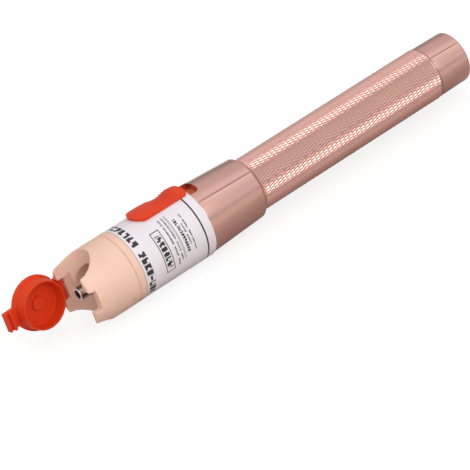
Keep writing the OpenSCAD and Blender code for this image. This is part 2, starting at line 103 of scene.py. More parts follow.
def angle(name, description, degrees):
    """An angle property whose default is given in degrees."""
    return FloatProperty(name=name, description=description, default=math.radians(degrees), subtype="ANGLE")


def colour(name, description, *channels):
    """A colour property with linear channels."""
    return FloatVectorProperty(name=name, description=description, subtype="COLOR", min=0, max=1,
                               default=channels)


class PenSizes(bpy.types.PropertyGroup):
    """Sizes of the turned and moulded pieces."""

    collar_len: length("Collar length", "Length of the smooth collar", 23.6)
    collar_rear_r: length("Collar rear radius", "Radius of the collar where its chamfer starts", 11.5)
    chamfer_len: length("Chamfer length", "Length of the chamfer behind the collar", 1.6)
    plain_len: length("Plain band", "Length of the plain band in front of the knurl", 0.3)
    grip_r: length("Grip radius", "Radius over the crests of the knurl", 10.0)
    rear_band_len: length("Rear band", "Length of the plain band behind the knurl", 0.4)
    band_drop: length("Band drop", "Depth of the plain bands below the knurl's crests", 0.12)
    knurl_depth: length("Knurl depth", "Depth of the knurl from crest to root", 0.24)
    knurl_pitch: length("Knurl pitch", "Length of one knurl diamond along the grip", 3.81)
    knurl_twist: FloatProperty(name="Knurl twist", default=0.0325,
                               description="Turn of the knurl's rows round the grip, as a share of their run")
    knurl_count: IntProperty(name="Diamonds around", description="Knurl diamonds in one row", default=64,
                             min=8)
    crest_share: FloatProperty(name="Crest share", default=0.12,
                               description="Flat top of a knurl diamond, as a share of the diamond")
    edge_break: length("Edge break", "Radius of the turned pieces' small edges", 0.2)
    collar_front_round: length("Collar front edge", "Radius of the collar's front edge", 0.3)
    collar_rear_round: length("Collar rear edge", "Radius of the collar's rear edge", 0.8)
    chamfer_round: length("Chamfer foot", "Radius at the foot of the chamfer behind the collar", 0.5)
    collar_bore_r: length("Collar bore", "Radius of the bore that takes the front tube's spigot", 10.7)
    collar_bore_len: length("Collar bore length", "Depth of the collar's bore", 12.7)
    cell_bore_r: length("Cell bore", "Radius of the bore that holds the cells", 7.6)
    thread_bore_r: length("Thread bore", "Radius of the barrel's bore for the tail cap", 8.75)
    thread_bore_len: length("Thread bore length", "Depth of the barrel's bore for the tail cap", 9.4)
    notch_depth: length("Notch depth", "Depth of the notch in the collar's front edge", 4.6)
    notch_w: length("Notch width", "Width of the notch in the collar's front edge", 10.0)
    notch_corner_r: length("Notch corner", "Radius of the notch's inner corners", 2.0)
    thread_pitch: length("Thread pitch", "Pitch of the tail cap's thread", 1.0)
    thread_depth: length("Thread depth", "Depth of the tail cap's thread", 0.35)
    tail_spigot_r: length("Tail spigot", "Radius over the tail cap's thread", 8.7)
    tail_round: length("Tail edge", "Radius of the tail cap's rear edge", 1.0)
    tail_wall: length("Tail wall", "Thickness of the tail cap's end", 2.2)
    tail_taper: length("Tail taper", "Drop of the tail cap's radius towards its end", 0.12)
    tail_floor_round: length("Tail floor", "Radius of the corner inside the tail cap", 0.5)
    seam_gap: length("Seam", "Width of the seam between the barrel and the tail cap", 0.2)
    neck_len: length("Tail neck", "Length of the plain neck in front of the tail cap's skirt", 1.2)
    bore_play: length("Bore play", "Step between the cells' bore and the tail cap's", 0.05)
    axis_r: length("Axis", "Radius at which the tail cap's end closes on the axis", 0.02)
    thread_lead: length("Thread lead", "Plain length in front of the thread", 0.6)
    thread_runout: length("Thread runout", "Plain length behind the thread", 0.4)
    notch_overrun: length("Notch overrun", "How far the notch's cutter stands past the collar", 2.0)
    ridge_pitch: length("Thumb ridge pitch", "Distance between the slider's thumb ridges", 1.25)
    ridge_height: length("Thumb ridge height", "Height of the slider's thumb ridges", 0.26)
    ridge_front: length("Thumb ridge front", "Plain length in front of the thumb ridges", 9.2)
    ridge_rear: length("Thumb ridge rear", "Plain length behind the thumb ridges", 2.6)
    ridge_floor: length("Thumb ridge floor", "Height over the label above which the slider has ridges", 0.3)
    ridge_spread: angle("Thumb ridge spread", "Half the angle over which the thumb ridges reach", 30)
    rib_pitch: length("Nose rib pitch", "Distance between the fine ribs on the nose", 1.3)
    rib_depth: length("Nose rib depth", "Depth of the grooves between the fine ribs on the nose", 0.14)
    rib_front: length("Nose rib front", "Plain length in front of the nose's ribs", 7.0)
    rib_rear: length("Nose rib rear", "Plain length behind the nose's ribs", 3.6)
    rib_floor_r: length("Nose rib floor", "Radius above which the nose has ribs", 11.8)
    rib_facing: angle("Nose rib facing", "Middle of the ribs, about the axis from the slider", 98)
    rib_spread: angle("Nose rib spread", "Half the angle over which the nose's ribs reach", 20)


class PenColours(bpy.types.PropertyGroup):
    """Colours of the finishes that show."""

    nose: colour("Nose", "Moulded plastic of the nose and the front tube", 0.82, 0.54, 0.42)
    orange: colour("Orange", "Moulded plastic of the dust cap and the slider", 0.71, 0.047, 0.008)
    metal: colour("Anodised metal", "Rose anodised aluminium of the barrel", 0.72, 0.42, 0.365)
    film: colour("Label film", "Ground of the printed label", 0.765, 0.71, 0.745)
    ink: colour("Label ink", "Print on the label", 0.018, 0.018, 0.022)
    floor: colour("Floor", "Studio floor as the camera sees it", 0.22, 0.22, 0.22)
    # Painted shade: a darker sheet that only the pen sees, darkest close to it, standing in for shade in its
    # reflections and on its undersides
    table: colour("Table", "Table that the pen reflects, close to it", 0.51, 0.46, 0.43)
    shade_table_far: colour("Far table", "Table that the pen reflects, farther off", 0.80, 0.75, 0.72)


class PenStage(bpy.types.PropertyGroup):
    """Camera and lights, from the photograph's own view."""

    slope: angle("Slope", "Rise of the pen's axis in the picture", 32.8144)
    tilt: angle("Tilt", "Angle by which the tail leans away from the camera", 25.4128)
    roll: angle("Roll", "Turn of the slider about the axis, from facing the camera", 61.4758)
    distance: length("Distance", "Depth of the port's mouth from the camera", 929.96)
    picture_px: IntProperty(name="Picture width", description="Width of the picture in pixels", default=470)
    focal_px: FloatProperty(name="Focal length", description="Focal length in pixels", default=2798.36)
    port_px: FloatVectorProperty(name="Port", description="Pixel of the port's mouth", size=2,
                                 default=(77.717, 294.643))
    sensor_mm: FloatProperty(name="Sensor width", description="Width of the camera's sensor", default=36)
    clip_start: length("Clip start", "Distance at which the camera starts to see", 50)
    key_watts: FloatProperty(name="Key light", description="Power of the key light", default=0.4,
                             unit="POWER")
    key_size: FloatVectorProperty(name="Key size", description="Width and height of the key light", size=2,
                                  default=(0.7, 0.5), unit="LENGTH")
    key_place: FloatVectorProperty(name="Key place", description="Middle of the key light",
                                   default=(-0.22, -0.76, 0.40), unit="LENGTH")
    key_aim: FloatVectorProperty(name="Key aim", description="Point at which the key light looks",
                                 default=(0.08, 0.0, 0.0), unit="LENGTH")
    sheet_reach: length("Sheet reach", "Half the width of the floor and the table", 4000)
    # Painted shade: the shade sheet keeps its dark near tone within this width of the pen, and turns into its
    # far tone over the fade
    near_shade_w: length("Near tone", "Half the width of the table's near tone", 16)
    shade_fade: length("Tone fade", "Width over which the near tone turns into the far one", 42)
    shade_table_drop: length("Table drop", "Height of the floor over the table", 0.1)
    floor_glow: FloatProperty(name="Floor glow", description="Light of the floor, for the camera alone",
                              default=0.81)


class Wire:
    """A node's output. Arithmetic on wires adds Math nodes to their tree."""

    def __init__(self, tree, socket):
        self.tree = tree
        self.socket = socket

    def math(self, operation, *others):
        """A Math node on this wire and others."""
        return self.tree.node("ShaderNodeMath", {"operation": operation}, (self, *others))

    def out(self, name):
        """Another output of the same node."""
        return Wire(self.tree, self.socket.node.outputs[name])

    def between(self, low, high, soft):
        """1 from low to high, with an edge as wide as soft on both sides."""
        return ((self - low) / soft + 0.5).math("MINIMUM", (high - self) / soft + 0.5).clamped()

    def clamped(self):
        """Kept from 0 to 1."""
        return self.math("MAXIMUM", 0).math("MINIMUM", 1)

    def contrast(self, gain):
        """Made steeper about its middle, and kept from 0 to 1."""
        return ((self - 0.5) * gain + 0.5).clamped()

    def __add__(self, other):
        return self.math("ADD", other)

    __radd__ = __add__

    def __mul__(self, other):
        return self.math("MULTIPLY", other)

    __rmul__ = __mul__

    def __sub__(self, other):
        return self.math("SUBTRACT", other)

    def __rsub__(self, other):
        return self.tree.node("ShaderNodeMath", {"operation": "SUBTRACT"}, (other, self))

    def __truediv__(self, other):
        return self.math("DIVIDE", other)

    def __rtruediv__(self, other):
        return self.tree.node("ShaderNodeMath", {"operation": "DIVIDE"}, (other, self))


class Tree:
    """A node tree in the making."""

    def __init__(self, nodes):
        self.nodes = nodes

    def node(self, kind, settings=None, sockets=(), output=0):
        """Adds a node: its settings first, then the values or links of its sockets."""
        made = self.nodes.nodes.new(kind)
        for name, value in (settings or {}).items():
            if name == "stops":
                for place, level in value[1:-1]:
                    made.color_ramp.elements.new(place)
                for element, (place, level) in zip(made.color_ramp.elements, value):
                    element.position = place
                    element.color = (level, level, level, 1)
            else:
                setattr(made, name, value)
        for place, value in sockets.items() if isinstance(sockets, dict) else enumerate(sockets):
            if isinstance(value, Wire):
                self.nodes.links.new(value.socket, made.inputs[place])
            elif value is not None:
                made.inputs[place].default_value = value
        return Wire(self, made.outputs[output])

    def mix(self, factor, first, second):
        """The first colour, or the second where the factor is 1."""
        return self.node("ShaderNodeMix", {"data_type": "RGBA"}, {0: factor, 6: first, 7: second}, 2)

    def parts(self, vector):
        """The three parts of a vector."""
        x = self.node("ShaderNodeSeparateXYZ", None, (vector,))
        return x, x.out("Y"), x.out("Z")


class Finish(Tree):
    """A material on one Principled shader."""

    def __init__(self, name, **constants):
        self.material = bpy.data.materials.new(name)
        self.material.use_nodes = True
        super().__init__(self.material.node_tree)
        self.nodes.nodes.clear()
        self.shader = self.nodes.nodes.new("ShaderNodeBsdfPrincipled")
        surface = self.nodes.nodes.new("ShaderNodeOutputMaterial")
        self.nodes.links.new(self.shader.outputs[0], surface.inputs[0])
        for socket, value in constants.items():
            self.shader.inputs[socket.replace("_", " ")].default_value = value
        place = self.node("ShaderNodeTexCoord", None, (), "Object")
        self.place = self.node("ShaderNodeVectorMath", {"operation": "SCALE"}, {0: place, "Scale": 1 / MM})

    def feed(self, socket, wire):
        """Links a wire to one of the shader's sockets."""
        self.nodes.links.new(wire.socket, self.shader.inputs[socket])

    def vary(self, socket, about, spread, noise):
        """Feeds a socket with a value that noise moves up and down by half the spread."""
        self.feed(socket, about + spread * (noise - 0.5))

    def noise(self, scale, detail, vector=None):
        """Soft noise from 0 to 1, with its scale per millimetre."""
        return self.node("ShaderNodeTexNoise", None,
                         {"Vector": vector or self.place, "Scale": scale, "Detail": detail})

    def bump(self, height, distance):
        """Feeds the shader's normal from a height, with its full rise in millimetres."""
        bump = self.node("ShaderNodeBump", None,
                         {"Strength": 1.0, "Distance": distance * MM, "Height": height})
        self.feed("Normal", bump)

    def around(self):
        """The angle about the pen's axis in degrees, from the slider towards the near jaw."""
        y, z = self.parts(self.place)[1:]
        return (0 - y).math("ARCTAN2", z) * math.degrees(1)


def toned(tone, share):
    """A share of a tone, as a colour."""
    return (*(channel * share for channel in tone), 1)


def shades(tone, dark, light):
    """Two tones of a colour, for a mix."""
    return [toned(tone, dark), toned(tone, light)]


# The gate mark on the nose: stations in millimetres, angles about the axis, and its tone
GATE_X = (13.1, 14.5)
GATE_TURN = (122, 125)
GATE_STRENGTH = 0.6
GATE_TONE_SHARE = 0.3
# Painted shade in the collar's notch: the nose plastic past the collar's front edge is darkened to these
# shares of the nose's red, green and blue
NOTCH_SHADE_SHARES = (0.62, 0.14, 0.05)


def moulded_finish(name, tone, roughness, gloss, soft=0.0, notch_shade_shares=(1, 1, 1)):
    """Moulded plastic: faint clouds of tone, a fine orange-peel skin and slightly uneven gloss.

    Past the collar's front edge the tone is darkened to the notch shade shares: painted shade where the
    plastic shows in the collar's notch.
    """
    finish = Finish(name, Specular_IOR_Level=gloss, Subsurface_Weight=soft, Subsurface_Scale=1.5 * MM)
    x = finish.parts(finish.place)[0]
    gate = x.between(*GATE_X, soft=0.4) * finish.around().between(*GATE_TURN, soft=1.5)
    ground = finish.mix(finish.noise(scale=0.12, detail=3), *shades(tone, dark=0.94, light=1.05))
    ground = finish.mix(gate * GATE_STRENGTH, ground, toned(tone, GATE_TONE_SHARE))
    # Painted shade: past the collar's front edge the nose plastic is darkened where it shows in the notch
    notch_shade = [channel * share for channel, share in zip(tone, notch_shade_shares)]
    finish.feed("Base Color", finish.mix(x.math("GREATER_THAN", COLLAR_X / MM), ground, (*notch_shade, 1)))
    finish.vary("Roughness", about=roughness, spread=0.12, noise=finish.noise(scale=0.9, detail=3))
    finish.bump(finish.noise(scale=3.2, detail=2), distance=0.012)
    return finish


def anodised_finish(name, tone):
    """Turned and anodised aluminium: fine rings from the tool, and a satin sheen that varies a little."""
    finish = Finish(name, Metallic=1.0)
    rings_per_mm = 9
    along = finish.node("ShaderNodeCombineXYZ", None, (finish.parts(finish.place)[0] * rings_per_mm, 0, 0))
    rings = finish.noise(scale=1.0, detail=4, vector=along)
    clouds = finish.noise(scale=0.08, detail=2)
    finish.feed("Base Color", finish.mix(clouds, *shades(tone, dark=0.95, light=1.04)))
    finish.vary("Roughness", about=0.145, spread=0.09, noise=rings)
    finish.bump(rings, distance=0.0012)
    return finish


# A row of dashes on the label: its distance behind the front edge, the height and pitch of its dashes in
# millimetres, the share of them that is there, and its first and last angle about the axis in degrees
Row = namedtuple("Row", "back height pitch share first last")
ROWS = (
    Row(back=1.0, height=2.6, pitch=2.25, share=0.9, first=-30, last=168),
    Row(back=9.3, height=2.3, pitch=1.85, share=1.0, first=52, last=106),
    Row(back=14.0, height=0.6, pitch=0.75, share=0.84, first=32, last=112),
    Row(back=15.5, height=0.6, pitch=0.75, share=0.84, first=31, last=106),
    Row(back=18.4, height=1.1, pitch=1.0, share=0.9, first=44, last=99),
    Row(back=20.15, height=0.55, pitch=0.7, share=0.85, first=55, last=90),
    Row(back=21.45, height=0.55, pitch=0.7, share=0.85, first=40, last=102),
)
# The inked part of a dash's pitch, and the broken strokes along and across it
DASH_PART = (0.07, 0.88)
STROKES_ALONG = 2.6
STROKES_ACROSS = 3
BLANK_SHARE = 0.18
# Ring line, box and thin rules: millimetres behind the front edge, and angles about the axis
RING_BACK = 26.4
RING_W = 0.6
BOX_BACK = 8.6
BOX_LEN = 3.7
BOX_LINE = 0.3
BOX_TURN = (44, 113)
BOX_LINE_TURN = 1.5
RULE_BACKS = (16.75, 17.2)
RULE_W = 0.15
RULE_TURN = (31, 106)
# Painted shade along the film's front edge, standing in for the shadow at its step: how far it shows, and how
# dark it is
EDGE_SHADE_W = 0.14
EDGE_SHADE_STRENGTH = 0.55
# Soft edges of the print, in millimetres and in degrees
FINE_SOFT = 0.06
RULE_SOFT = 0.08
BOX_SOFT = 0.1
TURN_SOFT = 0.5


def dashes(finish, row, front, x, turn):
    """One row of broken dashes, 1 where there is ink."""
    level = (x - (front + row.back)) / row.height
    cell = turn * (math.radians(1) * LABEL_R / MM) / row.pitch + row.back
    gap = finish.node("ShaderNodeTexWhiteNoise", {"noise_dimensions": "1D"}, {"W": cell.math("FLOOR")})
    along = (cell * STROKES_ALONG).math("FLOOR")
    across = (level * STROKES_ACROSS).math("FLOOR")
    stroke = finish.node("ShaderNodeCombineXYZ", None, (along, across, row.back))
    stroke = finish.node("ShaderNodeTexWhiteNoise", {"noise_dimensions": "3D"}, {"Vector": stroke})
    dash = cell.math("FRACT").between(*DASH_PART, soft=0.12) * gap.math("LESS_THAN", row.share)
    reach = level.between(0.0, 1.0, soft=0.1) * turn.between(row.first, row.last, TURN_SOFT)
    return dash * reach * stroke.math("GREATER_THAN", BLANK_SHARE)


def label_finish(name, film, ink):
    """White film with a black ring line near its rear edge and rows of plain dashes round it, and a thin line
    of painted shade along its front edge.
    """
    finish = Finish(name, Specular_IOR_Level=0.45)
    x = finish.parts(finish.place)[0]
    turn = finish.around()
    front = LABEL_X / MM
    first, last = BOX_TURN
    box = (x.between(front + BOX_BACK, front + BOX_BACK + BOX_LEN, BOX_SOFT)
           * turn.between(first, last, TURN_SOFT))
    hole = (x.between(front + BOX_BACK + BOX_LINE, front + BOX_BACK + BOX_LEN - BOX_LINE, BOX_SOFT)
            * turn.between(first + BOX_LINE_TURN, last - BOX_LINE_TURN, TURN_SOFT))
    # The last mark in this list is painted shade along the film's front edge, not print
    print_and_edge_shade = [x.between(front + RING_BACK, front + RING_BACK + RING_W, FINE_SOFT), box - hole,
              x.between(front - EDGE_SHADE_W, front + EDGE_SHADE_W, FINE_SOFT) * EDGE_SHADE_STRENGTH]
    print_and_edge_shade += [dashes(finish, row, front, x, turn) for row in ROWS]
    print_and_edge_shade += [x.between(front + back, front + back + RULE_W, RULE_SOFT) * turn.between(*RULE_TURN, TURN_SOFT)
               for back in RULE_BACKS]
    marks = print_and_edge_shade[0]
    for each in print_and_edge_shade[1:]:
        marks = marks.math("MAXIMUM", each)
    ground = finish.mix(finish.noise(scale=0.2, detail=3), *shades(film, dark=0.97, light=1.03))
    finish.feed("Base Color", finish.mix(marks, ground, (*ink, 1)))
    film_roughness, ink_gloss = 0.42, 0.08
    finish.vary("Roughness", about=film_roughness - ink_gloss * marks, spread=0.08,
                noise=finish.noise(scale=1.5, detail=3))
    finish.bump(finish.noise(scale=2.2, detail=3), distance=0.006)
    return finish


# Polished chrome: the tone of its dark painted reflections, streaked along it, of the metal, and of the
# painted highlight on its turned front rim
PAINTED_REFLECTION_TONE = (0.12, 0.09, 0.075)
CHROME_TONE = (0.96, 0.95, 0.94)
RIM_HIGHLIGHT_TONE = (0.85, 0.83, 0.80)
RIM_LEN = 0.12
# The rim is made mostly non-metallic so that its pale painted highlight shows in place of a reflection
RIM_HIGHLIGHT_METALLIC = 0.2


def chrome_finish(name):
    """Polished chrome with dark painted reflections streaked along it, and a pale painted highlight on its
    front rim.
    """
    finish = Finish(name)
    x, y, z = finish.parts(finish.place)
    stretch_share = 0.12
    rim = x.math("LESS_THAN", RIM_LEN)
    along = finish.node("ShaderNodeCombineXYZ", None, (x * stretch_share, y, z))
    # Painted reflection: dark streaked tones of the surroundings, stretched along the tube
    painted_reflections = finish.noise(scale=0.55, detail=2, vector=along).contrast(gain=6)
    tube = finish.mix(painted_reflections, (*PAINTED_REFLECTION_TONE, 1), (*CHROME_TONE, 1))
    # Painted highlight: the front rim takes a pale tone and loses most of its metal
    finish.feed("Base Color", finish.mix(rim, tube, (*RIM_HIGHLIGHT_TONE, 1)))
    finish.feed("Metallic", 1 - (1 - RIM_HIGHLIGHT_METALLIC) * rim)
    finish.vary("Roughness", about=0.23, spread=0.08, noise=finish.noise(scale=1.2, detail=2))
    return finish


def plain_finish(name, tone, roughness, metallic=0.0, **constants):
    """A small part's finish: its tone and gloss vary a little over the surface."""
    finish = Finish(name, Metallic=metallic, **constants)
    cloud = finish.noise(scale=0.6, detail=3)
    finish.feed("Base Color", finish.mix(cloud, *shades(tone, dark=0.9, light=1.06)))
    finish.vary("Roughness", about=roughness, spread=0.1, noise=cloud)
    return finish


# Finishes of the small and inner parts, by the record's material slots
PLAIN_FINISHES = {
    "steel": {"tone": (0.62, 0.61, 0.60), "roughness": 0.28, "metallic": 1.0},
    # The ceramic is painted near black: painted shade standing in for the dark deep in the port's bore
    "ceramic": {"tone": (0.045, 0.04, 0.036), "roughness": 0.16},
    "brass": {"tone": (0.78, 0.58, 0.28), "roughness": 0.25, "metallic": 1.0},
    "lens_glass": {"tone": (0.95, 0.97, 0.98), "roughness": 0.06, "Transmission_Weight": 1.0},
    "dark_plastic": {"tone": (0.035, 0.035, 0.038), "roughness": 0.45},
    "board_laminate": {"tone": (0.02, 0.20, 0.08), "roughness": 0.35},
    "capacitor_sleeve": {"tone": (0.03, 0.04, 0.16), "roughness": 0.30},
    "trimmer_blue": {"tone": (0.03, 0.12, 0.50), "roughness": 0.35},
    "black_rubber": {"tone": (0.02, 0.02, 0.02), "roughness": 0.60},
    "cell_wrap": {"tone": (0.06, 0.22, 0.14), "roughness": 0.30},
}


def make_finishes():
    """All finishes, by the record's material slots."""
    colours = bpy.context.scene.pen_colours
    made = {
        "nose_plastic": moulded_finish("nose_plastic", colours.nose, roughness=0.42, gloss=0.5, soft=0.12,
                                       notch_shade_shares=NOTCH_SHADE_SHARES),
        "orange_plastic": moulded_finish("orange_plastic", colours.orange, roughness=0.40, gloss=0.22),
        "rose_aluminium": anodised_finish("rose_aluminium", colours.metal),
        "label_film": label_finish("label_film", colours.film, colours.ink),
        "port_chrome": chrome_finish("port_chrome"),
    }
    made.update({name: plain_finish(name, **look) for name, look in PLAIN_FINISHES.items()})
    return made


FINISHES = {}


def new_piece(name, mesh):
    """A new object in the scene."""
    piece = bpy.data.objects.new(name, mesh)
    bpy.context.scene.collection.objects.link(piece)
    return piece


def rounded(corners):
    """An outline's points (station, radius) from corners (station, radius, round)."""
    points = []
    for i, (x, r, fillet) in enumerate(corners):
        here = Vector((x, r))
        if not fillet:
            points.append(here)
            continue
        back = (Vector(corners[i - 1][:2]) - here).normalized()
        ahead = (Vector(corners[(i + 1) % len(corners)][:2]) - here).normalized()
        half = back.angle(ahead) / 2
        centre = here + (back + ahead).normalized() * (fillet / math.sin(half))
        start = here + back * (fillet / math.tan(half)) - centre
        end = here + ahead * (fillet / math.tan(half)) - centre
        chords = [start.lerp(end, k / ROUND_STEPS).normalized() for k in range(ROUND_STEPS + 1)]
        points += [centre + chord * fillet for chord in chords]
    return points


def turned(name, corners):
    """A hollow turned piece from the closed outline of its wall."""
    shape = bmesh.new()
    ring = [shape.verts.new((point.x, 0, point.y)) for point in rounded(corners)]
    edges = [shape.edges.new(pair) for pair in zip(ring, ring[1:] + ring[:1])]
    bmesh.ops.spin(shape, geom=ring + edges, axis=(1, 0, 0), angle=math.tau, steps=TURN_SIDES, use_merge=True)
    bmesh.ops.remove_doubles(shape, verts=shape.verts, dist=WELD)
    bmesh.ops.recalc_face_normals(shape, faces=shape.faces)
    mesh = bpy.data.meshes.new(name)
    shape.to_mesh(mesh)
    shape.free()
    return new_piece(name, mesh)


def shade(piece):
    """Smooth shading, with edges above the sharp bend kept crisp."""
    shape = bmesh.new()
    shape.from_mesh(piece.data)
    for face in shape.faces:
        face.smooth = True
    for edge in shape.edges:
        edge.smooth = edge.calc_face_angle(0) < SHARP_BEND
    shape.to_mesh(piece.data)
    shape.free()


def settle(piece):
    """Turns the piece's modifiers into plain mesh."""
    graph = bpy.context.evaluated_depsgraph_get()
    mesh = bpy.data.meshes.new_from_object(piece.evaluated_get(graph))
    piece.modifiers.clear()
    piece.data = mesh
    return piece


def moulded(node, voxel, rounds):
    """A copy of a CAD node with softly rounded edges, as a mould leaves them."""
    shape = bmesh.new()
    shape.from_mesh(frame["nodes"][node].data)
    bmesh.ops.remove_doubles(shape, verts=shape.verts, dist=WELD)
    mesh = bpy.data.meshes.new(node + "_looks")
    shape.to_mesh(mesh)
    shape.free()
    piece = new_piece(node + "_looks", mesh)
    remesh = piece.modifiers.new("skin", "REMESH")
    remesh.mode = "VOXEL"
    remesh.voxel_size = voxel
    remesh.use_smooth_shade = True
    soften = piece.modifiers.new("soften", "SMOOTH")
    soften.factor = 0.5
    soften.iterations = rounds
    return settle(piece)


def fit(piece, body, slot, *nodes):
    """Sets a finished piece on its body in the place of its nodes."""
    piece.data.materials.clear()
    piece.data.materials.append(FINISHES[slot].material)
    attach(piece, body)
    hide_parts(*nodes)


def grow(piece, tree, values):
    """Runs a geometry tree on a piece with named input values, and keeps the plain mesh."""
    modifier = piece.modifiers.new(tree.name, "NODES")
    modifier.node_group = tree
    for item in tree.interface.items_tree:
        if item.in_out == "INPUT" and item.name in values:
            modifier[item.identifier] = values[item.name]
    settle(piece)


def geometry_tree(name, floats=(), ints=()):
    """A geometry tree with named inputs, and the wires of those inputs by name."""
    group = bpy.data.node_groups.new(name, "GeometryNodeTree")
    group.interface.new_socket("Geometry", in_out="INPUT", socket_type="NodeSocketGeometry")
    for kind, names in (("NodeSocketFloat", floats), ("NodeSocketInt", ints)):
        for label in names:
            group.interface.new_socket(label, in_out="INPUT", socket_type=kind)
    group.interface.new_socket("Material", in_out="INPUT", socket_type="NodeSocketMaterial")
    group.interface.new_socket("Geometry", in_out="OUTPUT", socket_type="NodeSocketGeometry")
    tree = Tree(group)
    source = tree.node("NodeGroupInput")
    return tree, {label: source.out(label) for label in ("Geometry", "Material", *floats, *ints)}


def end_tree(tree, geometry, material):
    """Ends a geometry tree in plain mesh with its material."""
    real = tree.node("GeometryNodeRealizeInstances", None, {"Geometry": geometry})
    dressed = tree.node("GeometryNodeSetMaterial", None, {"Geometry": real, "Material": material})
    sink = tree.nodes.nodes.new("NodeGroupOutput")
    tree.nodes.links.new(dressed.socket, sink.inputs[0])
    return tree.nodes


def knurl_tree():
    """Rows of flat-topped diamonds on a lattice, wrapped round the X axis and joined to the input."""
    floats = ("Root Radius", "Depth", "Start", "Half Pitch", "Crest Share", "Twist", "Low", "High")
    tree, given = geometry_tree("knurl", floats, ("Around", "Rows"))
    half_w = given["Root Radius"] * math.pi / given["Around"]
    half_l = given["Half Pitch"]
    cone = tree.node("GeometryNodeMeshCone", None,
                     {"Vertices": 4, "Radius Top": given["Crest Share"], "Radius Bottom": 1.0, "Depth": 1.0})
    facing = tree.parts(tree.node("GeometryNodeInputNormal"))[2]
    diamond = tree.node("GeometryNodeDeleteGeometry", {"domain": "FACE"},
                        {"Geometry": cone, "Selection": facing.math("LESS_THAN", 0)})
    size = tree.node("ShaderNodeCombineXYZ", None, (half_l, half_w, given["Depth"]))
    diamond = tree.node("GeometryNodeTransform", None, {"Geometry": diamond, "Scale": size})
    grid_len = (given["Rows"] - 1) * half_l
    grid = tree.node("GeometryNodeMeshGrid", None,
                     {"Size X": grid_len, "Size Y": (given["Around"] - 1) * half_w * 2,
                      "Vertices X": given["Rows"], "Vertices Y": given["Around"]})
    x, y, z = tree.parts(tree.node("GeometryNodeInputPosition"))
    row = ((x + grid_len / 2) / half_l + 0.5).math("FLOOR")
    shift = tree.node("ShaderNodeCombineXYZ", None,
                      (given["Start"] + half_l + grid_len / 2, row.math("MODULO", 2.0) * half_w, 0.0))
    lattice = tree.node("GeometryNodeSetPosition", None, {"Geometry": grid, "Offset": shift})
    diamonds = tree.node("GeometryNodeInstanceOnPoints", None, {"Points": lattice, "Instance": diamond})
    flat = tree.node("GeometryNodeRealizeInstances", None, {"Geometry": diamonds})
    turn = (y + x * given["Twist"]) / given["Root Radius"]
    radius = z + given["Root Radius"]
    # Diamonds that reach past the knurl's ends are pressed flat against them
    held = x.math("MAXIMUM", given["Low"]).math("MINIMUM", given["High"])
    wrap = tree.node("ShaderNodeCombineXYZ", None,
                     (held, radius * turn.math("SINE"), radius * turn.math("COSINE")))
    round_it = tree.node("GeometryNodeSetPosition", None, {"Geometry": flat, "Position": wrap})
    merged = tree.node("GeometryNodeMergeByDistance", None, {"Geometry": round_it, "Distance": 10 * WELD})
    joined = tree.node("GeometryNodeJoinGeometry", None, {"Geometry": merged})
    tree.nodes.links.new(given["Geometry"].socket, joined.socket.node.inputs[0])
    return end_tree(tree, joined, given["Material"])


def thread_tree():
    """A helical ridge along X, joined to the input."""
    tree, given = geometry_tree("thread", ("Radius", "Wire", "Start", "Length", "Turns"))
    helix = tree.node("GeometryNodeCurveSpiral", None,
                      {"Resolution": THREAD_STEPS, "Rotations": given["Turns"], "Height": given["Length"],
                       "Start Radius": given["Radius"], "End Radius": given["Radius"]})
    section = tree.node("GeometryNodeCurvePrimitiveCircle", {"mode": "RADIUS"},
                        {"Resolution": THREAD_SIDES, "Radius": given["Wire"]})
    ridge = tree.node("GeometryNodeCurveToMesh", None,
                      {"Curve": helix, "Profile Curve": section, "Fill Caps": True})
    start = tree.node("ShaderNodeCombineXYZ", None, (given["Start"], 0.0, 0.0))
    placed = tree.node("GeometryNodeTransform", None,
                       {"Geometry": ridge, "Translation": start, "Rotation": (0, math.pi / 2, 0)})
    joined = tree.node("GeometryNodeJoinGeometry", None, {"Geometry": placed})
    tree.nodes.links.new(given["Geometry"].socket, joined.socket.node.inputs[0])
    return end_tree(tree, joined, given["Material"])


def rib_tree():
    """Even ribs across X on a smooth surface, where it faces a direction about the axis.

    A height below zero sinks grooves into the surface.
    """
    tree, given = geometry_tree("ribs", ("Start", "End", "Pitch", "Height", "Facing", "Spread", "Low Radius"))
    x, y, z = tree.parts(tree.node("GeometryNodeInputPosition"))
    radius = (y * y + z * z).math("SQRT")
    turn = (0 - y).math("ARCTAN2", z)
    normal = tree.node("GeometryNodeInputNormal")
    ny, nz = tree.parts(normal)[1:]
    outward = ((ny * y + nz * z) / radius - RIB_LEAST).math("MAXIMUM", 0) / (1 - RIB_LEAST)
    wave = (1 - ((x - given["Start"]) / given["Pitch"] * math.tau).math("COSINE")) / 2
    ends = x.between(given["Start"], given["End"], given["Pitch"] / 2)
    side = (turn - given["Facing"]).math("ABSOLUTE").between(0 - given["Spread"], given["Spread"], soft=0.1)
    rise = wave * ends * side * outward * radius.math("GREATER_THAN", given["Low Radius"]) * given["Height"]
    offset = tree.node("ShaderNodeVectorMath", {"operation": "SCALE"}, {0: normal, "Scale": rise})
    ribbed = tree.node("GeometryNodeSetPosition", None, {"Geometry": given["Geometry"], "Offset": offset})
    return end_tree(tree, ribbed, given["Material"])


class PEN_OT_inner_parts(bpy.types.Operator):
    """Makes the finishes and gives every CAD node the one of its material slot"""

    bl_idname = "pen.inner_parts"
    bl_label = "Finish the nodes"

    def execute(self, context):
        FINISHES.update(make_finishes())
        for part in frame["record"]["subparts"]:
            mesh = frame["nodes"][part["node"]].data
            mesh.materials.clear()
            mesh.materials.append(FINISHES[part["material_slot"]].material)
        return {"FINISHED"}


